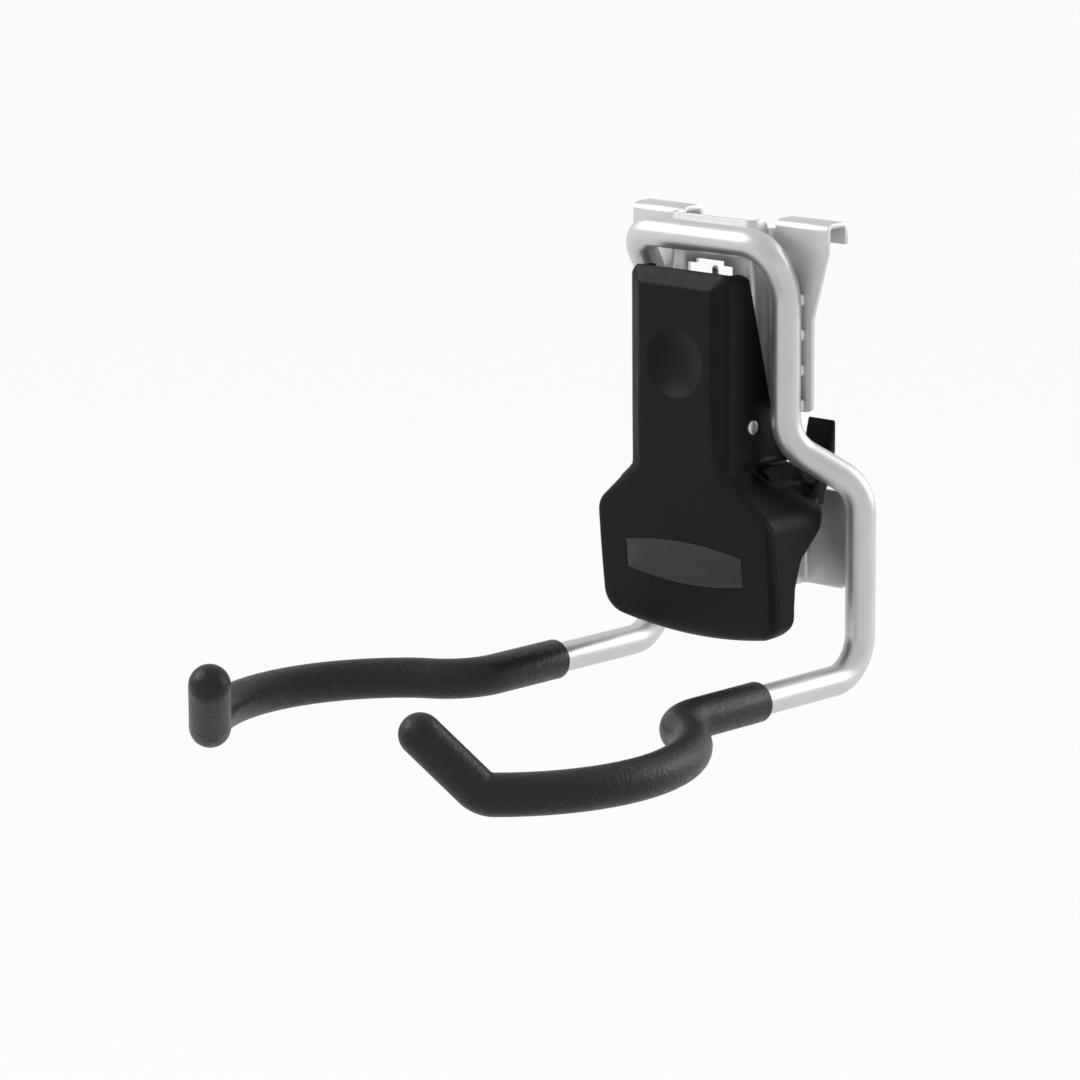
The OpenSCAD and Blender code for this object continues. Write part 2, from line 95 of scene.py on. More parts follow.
class NodeBoard:
    """The node tree of a material or world, with short calls to add nodes and links."""

    def __init__(self, owner: bpy.types.Material | bpy.types.World) -> None:
        """Empties the owner's node tree.

        Args:
            owner: The material or world.
        """
        owner.use_nodes = True
        self.tree = owner.node_tree
        self.tree.nodes.clear()

    def add(self, kind: str, **settings: object) -> bpy.types.Node:
        """Adds a node.

        Args:
            kind: The node's type name without its ShaderNode prefix.
            **settings: Attributes of the node, or, where no attribute has that name,
                inputs in the form Name_With_Underscores.

        Returns:
            The new node.
        """
        node = self.tree.nodes.new("ShaderNode" + kind)
        for key, value in settings.items():
            if hasattr(node, key):
                setattr(node, key, value)
            else:
                node.inputs[key.replace("_", " ")].default_value = value
        return node

    def link(self, source: Socket, target: Socket) -> None:
        """Links an output to an input."""
        self.tree.links.new(source, target)

    def noise(self, coords: Socket, scale: float, detail: float) -> Socket:
        """Adds a noise texture.

        Args:
            coords: Where its coordinates come from.
            scale: Cells per metre.
            detail: Octaves.

        Returns:
            Its value output.
        """
        node = self.add("TexNoise", Scale=scale, Detail=detail)
        self.link(coords, node.inputs["Vector"])
        return node.outputs["Fac"]

    def between(self, factor: Socket, low: float, high: float) -> Socket:
        """Maps a noise value to a range.

        Args:
            factor: The value to map.
            low: The result where the value is low.
            high: The result where the value is high.

        Returns:
            The mapped value.
        """
        node = self.add("MapRange", From_Min=0.3, From_Max=0.7, To_Min=low, To_Max=high)
        self.link(factor, node.inputs["Value"])
        return node.outputs["Result"]

    def by_ray(self, lighting: float, shown: float) -> Socket:
        """Gives one value to the rays that light the object and one to those that show it.

        Args:
            lighting: The value for diffuse rays.
            shown: The value for camera, glossy and transmission rays.

        Returns:
            The value.
        """
        rays = self.add("LightPath")
        seen = rays.outputs["Is Camera Ray"]
        for name in ("Is Glossy Ray", "Is Transmission Ray"):
            either = self.add("Math", operation="MAXIMUM")
            self.link(seen, either.inputs[0])
            self.link(rays.outputs[name], either.inputs[1])
            seen = either.outputs[0]
        level = self.add("MapRange", To_Min=lighting, To_Max=shown)
        self.link(seen, level.inputs["Value"])
        return level.outputs["Result"]


def grey(level: float) -> Triple:
    """Gives a neutral colour."""
    return (level, level, level)


@dataclass(frozen=True)
class Finish:
    """A procedural finish with colour variation, relief and uneven roughness.

    Lengths are in millimetres and colours are linear. The last four fields shape the relief
    and the smears: the size of the lumps among the pebbles, the depth of a pebble, the waver
    of turned rings, and the size of a smear as a share of a patch.
    """

    slot: Slot
    relief: Relief
    colour: Triple
    second_colour: Triple
    patch_size: float
    roughness: Pair
    grain_size: float
    grain_height: float
    metallic: float = 0.0
    specular: float = 0.5
    lump_scale: float = 0.45
    pebble_depth: float = 0.55
    ring_waver: float = 1.5
    smear_share: float = 0.6

    def name(self) -> str:
        """Gives the material's name, which no CAD material has."""
        return self.slot.value + "_finish"

    def height(self, board: NodeBoard, coords: Socket) -> Socket:
        """Builds the relief.

        Args:
            board: The material's nodes.
            coords: Object coordinates.

        Returns:
            The height from 0 to 1.
        """
        scale = 1 / (self.grain_size * MM)
        if self.relief is Relief.PEBBLE:
            cells = board.add("TexVoronoi", feature="SMOOTH_F1", Scale=scale, Smoothness=0.5)
            board.link(coords, cells.inputs["Vector"])
            lumps = board.noise(coords, scale * self.lump_scale, 3)
            mix = board.add("Math", operation="MULTIPLY_ADD")
            board.link(cells.outputs["Distance"], mix.inputs[0])
            mix.inputs[1].default_value = -self.pebble_depth
            board.link(lumps, mix.inputs[2])
            return mix.outputs[0]
        if self.relief in (Relief.TURNED, Relief.DRAWN):
            wave = board.add(
                "TexWave", wave_type="RINGS", rings_direction="X", Scale=scale,
                Distortion=self.ring_waver)
            board.link(coords, wave.inputs["Vector"])
            return wave.outputs["Fac"]
        return board.noise(coords, scale, 3 if self.relief is Relief.PEEL else 5)

    def material(self) -> bpy.types.Material:
        """Builds the material.

        Returns:
            The new material.
        """
        material = bpy.data.materials.new(self.name())
        board = NodeBoard(material)
        coords = board.add("TexCoord").outputs["Object"]
        patches = board.noise(coords, 1 / (self.patch_size * MM), 4)
        mix = board.add("Mix", data_type="RGBA")
        first, second = [s for s in mix.inputs if s.type == "RGBA"]
        first.default_value = (*self.colour, 1)
        second.default_value = (*self.second_colour, 1)
        board.link(board.between(patches, 0, 1), mix.inputs[0])
        shader = board.add(
            "BsdfPrincipled", Metallic=self.metallic, Specular_IOR_Level=self.specular)
        blended = [s for s in mix.outputs if s.type == "RGBA"][0]
        board.link(blended, shader.inputs["Base Color"])
        smears = board.noise(coords, 1 / (self.patch_size * self.smear_share * MM), 5)
        board.link(board.between(smears, *self.roughness), shader.inputs["Roughness"])
        bump = board.add("Bump", Strength=1.0, Distance=self.grain_height * MM)
        board.link(self.height(board, coords), bump.inputs["Height"])
        board.link(bump.outputs["Normal"], shader.inputs["Normal"])
        output = board.add("OutputMaterial")
        board.link(shader.outputs[0], output.inputs["Surface"])
        return material


SATIN_ROD = Finish(
    Slot.ROD, Relief.PEEL, (0.68, 0.68, 0.69), grey(0.73), patch_size=14,
    roughness=(0.34, 0.42), grain_size=0.6, grain_height=0.005, metallic=0.68)
SATIN_SHEET = Finish(
    Slot.SHEET, Relief.PEEL, (0.68, 0.68, 0.69), grey(0.73), patch_size=12,
    roughness=(0.38, 0.46), grain_size=0.6, grain_height=0.005, metallic=0.68)
WELD_METAL = Finish(
    Slot.WELD, Relief.PEEL, grey(0.7), grey(0.78), patch_size=2,
    roughness=(0.22, 0.36), grain_size=0.5, grain_height=0.02, metallic=0.8)
SOFT_GRIP = Finish(
    Slot.GRIP, Relief.PEBBLE, grey(0.016), grey(0.024), patch_size=3,
    roughness=(0.36, 0.48), grain_size=1.1, grain_height=0.18, specular=0.3)
BLACK_MOULDING = Finish(
    Slot.MOULDING, Relief.SPARK, grey(0.009), grey(0.011), patch_size=9,
    roughness=(0.38, 0.46), grain_size=0.25, grain_height=0.004, specular=0.12)
GREY_PANEL = Finish(
    Slot.PANEL, Relief.SPARK, grey(0.058), grey(0.064), patch_size=6,
    roughness=(0.42, 0.5), grain_size=0.3, grain_height=0.004, specular=0.15)
BRIGHT_PIN = Finish(
    Slot.PIN, Relief.TURNED, (0.78, 0.78, 0.79), grey(0.83), patch_size=6,
    roughness=(0.3, 0.38), grain_size=0.5, grain_height=0.001, metallic=0.8)
SPRING_WIRE = Finish(
    Slot.SPRING, Relief.DRAWN, (0.45, 0.45, 0.46), grey(0.55), patch_size=2,
    roughness=(0.25, 0.38), grain_size=0.3, grain_height=0.004, metallic=0.95)


# Modelling


def make_active(*pieces: bpy.types.Object) -> None:
    """Selects these pieces alone, with the first one active.

    Args:
        *pieces: The pieces.
    """
    bpy.ops.object.select_all(action="DESELECT")
    for piece in pieces:
        piece.select_set(True)
    bpy.context.view_layer.objects.active = pieces[0]


@contextmanager
def editing(piece: bpy.types.Object) -> Iterator[None]:
    """Opens one piece in edit mode, with nothing selected, and closes it again.

    Args:
        piece: The mesh to edit.

    Yields:
        Nothing.
    """
    make_active(piece)
    bpy.ops.object.mode_set(mode="EDIT")
    bpy.ops.mesh.select_all(action="DESELECT")
    yield
    bpy.ops.object.mode_set(mode="OBJECT")


def select_edges(piece: bpy.types.Object, test: Callable[[bmesh.types.BMEdge], bool]) -> None:
    """Selects the edges that pass a test, and no others, in edit mode.

    Args:
        piece: The mesh in edit mode.
        test: Says whether an edge is wanted.
    """
    bpy.ops.mesh.select_all(action="DESELECT")
    bpy.ops.mesh.select_mode(type="EDGE")
    mesh = bmesh.from_edit_mesh(piece.data)
    for edge in mesh.edges:
        edge.select_set(test(edge))
    bmesh.update_edit_mesh(piece.data)


def apply_modifier(piece: bpy.types.Object, kind: str, **settings: object) -> None:
    """Adds a modifier and applies it.

    Args:
        piece: The mesh that it changes.
        kind: The modifier's type.
        **settings: The modifier's settings.
    """
    make_active(piece)
    modifier = piece.modifiers.new(kind.title(), kind)
    for key, value in settings.items():
        setattr(modifier, key, value)
    bpy.ops.object.modifier_apply(modifier=modifier.name)


def apply_place() -> None:
    """Moves the active piece's place, turn and scale into its mesh."""
    bpy.ops.object.transform_apply(location=True, rotation=True, scale=True)


def join(*pieces: bpy.types.Object) -> None:
    """Joins pieces into the first one."""
    make_active(*pieces)
    bpy.ops.object.join()


def duplicate(piece: bpy.types.Object, name: str) -> bpy.types.Object:
    """Copies a piece with its mesh.

    Args:
        piece: The piece.
        name: The copy's name.

    Returns:
        The copy, which is the active object.
    """
    make_active(piece)
    bpy.ops.object.duplicate()
    copy = bpy.context.active_object
    copy.name = name
    return copy


def turn_outward(piece: bpy.types.Object) -> None:
    """Turns the faces of a closed piece outward."""
    with editing(piece):
        bpy.ops.mesh.select_all(action="SELECT")
        bpy.ops.mesh.normals_make_consistent(inside=False)


def mirror(piece: bpy.types.Object, reach: float) -> None:
    """Mirrors a piece about x = 0 and turns its faces outward.

    Args:
        piece: The right half.
        reach: How near the middle, in millimetres, two vertices become one.
    """
    apply_modifier(piece, "MIRROR", use_clip=True, merge_threshold=reach * MM)
    turn_outward(piece)


def cut_away(piece: bpy.types.Object, cutter: bpy.types.Object) -> None:
    """Cuts a piece with another one, which is then deleted.

    Args:
        piece: The piece that stays.
        cutter: The closed shape that is taken out of it.
    """
    apply_modifier(piece, "BOOLEAN", operation="DIFFERENCE", solver="EXACT", object=cutter)
    bpy.data.objects.remove(cutter)


def smooth(piece: bpy.types.Object, angle: float = 35) -> None:
    """Shades a piece smooth, apart from edges sharper than an angle in degrees."""
    make_active(piece)
    bpy.ops.object.shade_smooth_by_angle(angle=math.radians(angle))


def copy_of_node(node: str, name: str) -> bpy.types.Object:
    """Copies a CAD node as a new piece, with its vertices merged and its flat facets joined.

    Args:
        node: The CAD node.
        name: The new piece's name.

    Returns:
        The new piece.
    """
    piece = duplicate(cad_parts[node], name)
    piece.parent = None
    for key in list(piece.keys()):
        del piece[key]
    with editing(piece):
        bpy.ops.mesh.select_all(action="SELECT")
        bpy.ops.mesh.remove_doubles(threshold=0.002 * MM)
        bpy.ops.mesh.dissolve_limited(angle_limit=math.radians(0.3))
    return piece


def break_edges(piece: bpy.types.Object, width: float, angle: float = 40) -> None:
    """Rounds a piece's sharp edges.

    Args:
        piece: The mesh.
        width: Width of the rounding in millimetres.
        angle: Edges sharper than this many degrees are rounded.
    """
    apply_modifier(
        piece, "BEVEL", width=width * MM, segments=2, limit_method="ANGLE",
        angle_limit=math.radians(angle), harden_normals=False)
    smooth(piece)


def finish_piece(piece: bpy.types.Object, finish: Finish, body: Body, *nodes: str) -> None:
    """Gives a piece its material and its body, and hides the CAD nodes that it stands for.

    Args:
        piece: The finished mesh.
        finish: Its surface finish.
        body: The body that it rides on.
        *nodes: The CAD nodes that it replaces.
    """
    piece.data.materials.clear()
    material = bpy.data.materials.get(finish.name()) or finish.material()
    piece.data.materials.append(material)
    if nodes:
        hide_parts(*nodes)
    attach(piece, body.value)


def shares(count: int) -> list[float]:
    """Lists equal steps from 0 up to 1, without 1."""
    return [i / count for i in range(count)]


@dataclass(frozen=True)
class Step:
    """One step of a centre line: a length or bend radius in millimetres and an angle."""

    move: Move
    size: float = 0.0
    angle: float = 0.0


class Feeder:
    """Feeds a ring of vertices along a path, as a bending machine feeds a rod."""

    def __init__(self, place: Vector, turn: Matrix) -> None:
        """Stands at the start of a path.

        Args:
            place: The start, in metres.
            turn: Axes of the start; the path leaves along the third one.
        """
        self.place = place.copy()
        self.turn = turn.copy()
        self.drawing = False
        self.facet = 5.0

    def begin(self, name: str, radius: float, sides: int = 40) -> bpy.types.Object:
        """Adds the first ring and opens it in edit mode.

        Args:
            name: The new piece's name.
            radius: The ring's radius in millimetres.
            sides: Vertices in the ring.

        Returns:
            The new piece.
        """
        bpy.ops.object.select_all(action="DESELECT")
        bpy.ops.mesh.primitive_circle_add(
            vertices=sides, radius=radius * MM, location=self.place,
            rotation=self.turn.to_euler())
        piece = bpy.context.active_object
        piece.name = name
        apply_place()
        bpy.ops.object.mode_set(mode="EDIT")
        bpy.ops.mesh.select_mode(type="EDGE")
        bpy.ops.mesh.select_all(action="SELECT")
        self.drawing = True
        return piece

    def take(self, *steps: Step) -> None:
        """Moves along steps, drawing them if a ring has been begun.

        Args:
            *steps: The steps.
        """
        for step in steps:
            side, up, ahead = self.turn.col
            if step.move is Move.GO:
                reach = ahead * step.size * MM
                if self.drawing:
                    bpy.ops.mesh.extrude_region_move(TRANSFORM_OT_translate={"value": reach})
                self.place += reach
            elif step.move is Move.ROLL:
                self.turn = Matrix.Rotation(math.radians(step.angle), 3, ahead) @ self.turn
            else:
                centre = self.place + side * step.size * MM
                if self.drawing:
                    bpy.ops.mesh.spin(
                        steps=max(2, round(step.angle / self.facet)),
                        angle=-math.radians(step.angle), center=centre, axis=up)
                swing = Matrix.Rotation(math.radians(step.angle), 3, up)
                self.place = centre + swing @ (self.place - centre)
                self.turn = swing @ self.turn

    def dome(self, radius: float, rings: int = 9) -> None:
        """Closes the ring with a half ball.

        Args:
            radius: The ring's radius in millimetres.
            rings: Rings up the ball.
        """
        turns = [math.pi / 2 * share for share in shares(rings)]
        for last, now in zip(turns, turns[1:]):
            self.take(Step(Move.GO, radius * (math.sin(now) - math.sin(last))))
            shrink = math.cos(now) / math.cos(last)
            bpy.ops.transform.resize(value=(shrink,) * 3, center_override=self.place)
        self.take(Step(Move.GO, radius * (1 - math.sin(turns[-1]))))
        bpy.ops.mesh.merge(type="CENTER")
        self.end()

    def cap(self) -> None:
        """Closes the ring with one flat face."""
        bpy.ops.mesh.edge_face_add()
        self.end()

    def end(self) -> None:
        """Leaves edit mode."""
        bpy.ops.object.mode_set(mode="OBJECT")
        self.drawing = False


class RingSkin:
    """A closed skin that is drawn ring by ring: each is extruded and moved into place."""

    def __init__(self, name: str, first: list[Vector]) -> None:
        """Adds the first ring and opens it in edit mode.

        Args:
            name: The new piece's name.
            first: The ring's points in millimetres.
        """
        bpy.ops.object.select_all(action="DESELECT")
        bpy.ops.mesh.primitive_circle_add(vertices=len(first), radius=1)
        self.piece = bpy.context.active_object
        self.piece.name = name
        bpy.ops.object.mode_set(mode="EDIT")
        mesh = bmesh.from_edit_mesh(self.piece.data)
        for vertex, point in zip(mesh.verts, first):
            vertex.co = point * MM
        bmesh.update_edit_mesh(self.piece.data)
        bpy.ops.mesh.select_mode(type="EDGE")
        bpy.ops.mesh.select_all(action="SELECT")
        self.first = first
        self.ring = first

    def draw(self, *rings: list[Vector]) -> None:
        """Extrudes the selected ring to each next one and moves its vertices there.

        Args:
            *rings: The new rings' points in millimetres.
        """
        for ring in rings:
            places = KDTree(len(self.ring))
            for i, point in enumerate(self.ring):
                places.insert(point * MM, i)
            places.balance()
            bpy.ops.mesh.extrude_region_move()
            mesh = bmesh.from_edit_mesh(self.piece.data)
            for vertex in mesh.verts:
                if vertex.select:
                    vertex.co = ring[places.find(vertex.co)[1]] * MM
            bmesh.update_edit_mesh(self.piece.data)
            self.ring = ring

    def weld(self) -> None:
        """Merges the vertices that meet."""
        bpy.ops.mesh.select_all(action="SELECT")
        bpy.ops.mesh.remove_doubles(threshold=0.005 * MM)

    def seal(self) -> None:
        """Closes the last ring where its vertices meet and goes back to the first ring."""
        self.weld()
        select_edges(self.piece, lambda edge: edge.is_boundary)
        self.ring = self.first

    def finish(self) -> bpy.types.Object:
        """Turns the faces outward and leaves edit mode.

        Returns:
            The closed piece.
        """
        self.weld()
        bpy.ops.mesh.normals_make_consistent(inside=False)
        bpy.ops.object.mode_set(mode="OBJECT")
        return self.piece


# Sub-assemblies


@dataclass
class RodPath:
    """The centre line of half the rod, from the middle of the top bar to the tip of a grip."""

    rod_d: float = 9.5
    bar_y: float = -18.65
    bar_z: float = -4.47
    loop_lean: float = 29.5
    bar_half: float = 18.9
    corner_r: float = 8.5
    corner_straight: float = 4.9
    fold_r: float = 17.0
    upper_leg: float = 34.9
    dogleg_r: float = 14.5
    dogleg_angle: float = 58.0
    dogleg_straight: float = 12.5
    step_turn: float = 36.97
    lower_leg: float = 38.8
    arm_bend_r: float = 13.0
    arm_bend: float = 90.8
    arm_bare: float = 36.7
    grip_straight: float = 28.4
    outward: Step = Step(Move.BEND, 21.1, 61.9)
    inward: Step = Step(Move.BEND, 26.9, 15.8)
    bow: Step = Step(Move.BEND, 58.3, 92.9)
    tip: Step = Step(Move.BEND, 8.0, 45.0)
    tip_straight: float = 20.2
    grip_over: float = 1.5

    def feeder(self) -> Feeder:
        """Stands a feeder at the middle of the top bar.

        Returns:
            The feeder.
        """
        lean = Matrix.Rotation(math.radians(self.loop_lean), 3, "X")
        return Feeder(
            Vector((0, self.bar_y, self.bar_z)) * MM, lean @ Matrix.Rotation(math.pi / 2, 3, "Y"))

    def feeder_at_grip(self) -> Feeder:
        """Stands a feeder where the right grip starts.

        Returns:
            The feeder.
        """
        feeder = self.feeder()
        feeder.take(*self.bare_steps())
        return feeder

    def bare_steps(self) -> list[Step]:
        """Lists the steps from the top bar to where a grip starts."""
        return [
            Step(Move.GO, self.bar_half),
            Step(Move.BEND, self.corner_r, 90),
            Step(Move.GO, self.corner_straight),
            Step(Move.ROLL, angle=-90),
            Step(Move.BEND, self.fold_r, self.loop_lean),
            Step(Move.GO, self.upper_leg),
            Step(Move.ROLL, angle=self.step_turn - 180),
            Step(Move.BEND, self.dogleg_r, self.dogleg_angle),
            Step(Move.GO, self.dogleg_straight),
            Step(Move.ROLL, angle=180),
            Step(Move.BEND, self.dogleg_r, self.dogleg_angle),
            Step(Move.GO, self.lower_leg),
            Step(Move.ROLL, angle=-self.step_turn),
            Step(Move.BEND, self.arm_bend_r, self.arm_bend),
            Step(Move.GO, self.arm_bare),
        ]

    def grip_steps(self) -> list[Step]:
        """Lists the steps from where a grip starts to the end of the rod."""
        return [
            Step(Move.GO, self.grip_straight),
            Step(Move.ROLL, angle=-90),
            self.outward,
            Step(Move.ROLL, angle=180),
            self.inward,
            self.bow,
            Step(Move.ROLL, angle=-90),
            self.tip,
            Step(Move.GO, self.tip_straight),
        ]


@dataclass
class RodCradle:
    """The bent steel rod."""

    path: RodPath

    def build(self) -> list[bpy.types.Object]:
        """Feeds the right half from the middle of the top bar and mirrors it.

        Returns:
            The rod.
        """
        feeder = self.path.feeder()
        rod = feeder.begin("rod_cradle", self.path.rod_d / 2)
        feeder.take(*self.path.bare_steps(), *self.path.grip_steps())
        feeder.cap()
        mirror(rod, 0.01)
        smooth(rod)
        finish_piece(rod, SATIN_ROD, Body.HOOK, "rod_frame")
        return [rod]


@dataclass
class Grips:
    """The two soft grips, each a sleeve with a round closed end."""

    path: RodPath
    wall: float = 1.6
    bore_gap: float = 0.02
    rim_r: float = 0.7
    rim_angle: float = 60.0
    rim_slack: float = 0.2

    def sleeve_skin(self, name: str, radius: float) -> tuple[bpy.types.Object, Feeder]:
        """Feeds one skin of the right grip.

        Args:
            name: The skin's name.
            radius: Its radius in millimetres.

        Returns:
            The skin, still in edit mode, and its feeder.
        """
        feeder = self.path.feeder_at_grip()
        skin = feeder.begin(name, radius)
        feeder.take(*self.path.grip_steps())
        return skin, feeder

    def round_rim(self, grip: bpy.types.Object, outer_r: float) -> None:
        """Rounds the outer edge of the right grip's open end.

        Args:
            grip: The right grip.
            outer_r: Its outer radius.
        """
        mouth = self.path.feeder_at_grip().place
        near, far = (outer_r - self.rim_slack) * MM, (outer_r + self.rim_slack) * MM
        with editing(grip):
            select_edges(grip, lambda edge: edge.is_manifold
                         and edge.calc_face_angle() > math.radians(self.rim_angle)
                         and all(near < (v.co - mouth).length < far for v in edge.verts))
            bpy.ops.mesh.bevel(offset=self.rim_r * MM, segments=3, affect="EDGES")

    def build(self) -> list[bpy.types.Object]:
        """Models the right grip and copies it for the left.

        Returns:
            The two grips.
        """
        outer_r = self.path.rod_d / 2 + self.wall
        bore, feeder = self.sleeve_skin("grip_bore", self.path.rod_d / 2 + self.bore_gap)
        feeder.cap()
        grip, feeder = self.sleeve_skin("soft_grip_right", outer_r)
        feeder.take(Step(Move.GO, self.path.grip_over))
        feeder.dome(outer_r)
        join(grip, bore)
        with editing(grip):
            select_edges(grip, lambda edge: edge.is_boundary)
            bpy.ops.mesh.bridge_edge_loops()
        turn_outward(grip)
        self.round_rim(grip, outer_r)
        left = duplicate(grip, "soft_grip_left")
        left.scale = (-1, 1, 1)
        apply_place()
        turn_outward(left)
        for piece, node in ((grip, "grip_right"), (left, "grip_left")):
            smooth(piece, angle=50)
            finish_piece(piece, SOFT_GRIP, Body.HOOK, node)
        return [grip, left]


@dataclass
class Bracket:
    """The folded sheet bracket."""

    edge_r: float = 0.3

    def build(self) -> list[bpy.types.Object]:
        """Rounds the edges of the folded sheet.

        Returns:
            The bracket.
        """
        piece = copy_of_node("bracket", "rail_bracket")
        break_edges(piece, self.edge_r)
        finish_piece(piece, SATIN_SHEET, Body.HOOK, "bracket")
        return [piece]


@dataclass
class WeldBeads:
    """The eight short welds in the corners between rod and bracket, in millimetres."""

    middle: Pair = (30.2, -6.2)
    radius: float = 1.4
    length: float = 4.0
    top_z: float = -22.6
    pitch: float = 11.0
    count: int = 4
    ripples: float = 4.0
    ripple: float = 0.07
    lean: float = 0.25
    sides: int = 20
    rings: int = 28

    def ring(self, share: float) -> list[Vector]:
        """Places a ring of the first bead.

        Args:
            share: Where it lies, from -1 at the bead's foot to 1 at its top.

        Returns:
            The ring's points.
        """
        wave = 1 + self.ripple * math.cos(math.pi * self.ripples * share)
        size = self.radius * wave * math.sqrt(max(0.0, 1 - share ** 4))
        z = self.top_z + share * self.length / 2
        return [
            Vector((
                self.middle[0] + size * math.cos(t), self.middle[1] + size * math.sin(t),
                z + self.lean * math.cos(t) * (1 - share * share)))
            for t in (math.tau * s for s in shares(self.sides))]

    def build(self) -> list[bpy.types.Object]:
        """Models one rippled bead and copies it down both legs.

        Returns:
            The beads as one piece.
        """
        foot, *rest = [
            self.ring(math.sin(math.pi / 2 * (2 * i / self.rings - 1)))
            for i in range(self.rings + 1)]
        skin = RingSkin("weld_bead_set", rest[0])
        skin.draw(*rest[1:])
        skin.seal()
        skin.draw(foot)
        beads = [skin.finish()]
        for i in range(1, self.count):
            copy = duplicate(beads[0], "weld_bead")
            copy.data.transform(Matrix.Translation((0, 0, -i * self.pitch * MM)))
            beads.append(copy)
        join(*beads)
        mirror(beads[0], 0.001)
        smooth(beads[0], angle=80)
        finish_piece(beads[0], WELD_METAL, Body.HOOK, "weld_beads")
        return beads[:1]


@dataclass(frozen=True)
class RimPoint:
    """A point of the cover's rim, seen from the front, with the crease that faces it.

    Its kind says which edge profile it has: 1 at the top, 0 at the side, -1 below.
    """

    rim: Vector
    crease: Vector
    kind: float


@dataclass(frozen=True)
class RimRows:
    """How many points each stretch of the cover's half rim has, from the top down."""

    top: int = 9
    corner: int = 8
    above_dimple: int = 8
    beside_dimple: int = 42
    below_dimple: int = 12
    neck: int = 7
    shoulder: int = 9
    low_corner: int = 8
    low_side: int = 14
    foot: int = 10
    bottom: int = 15


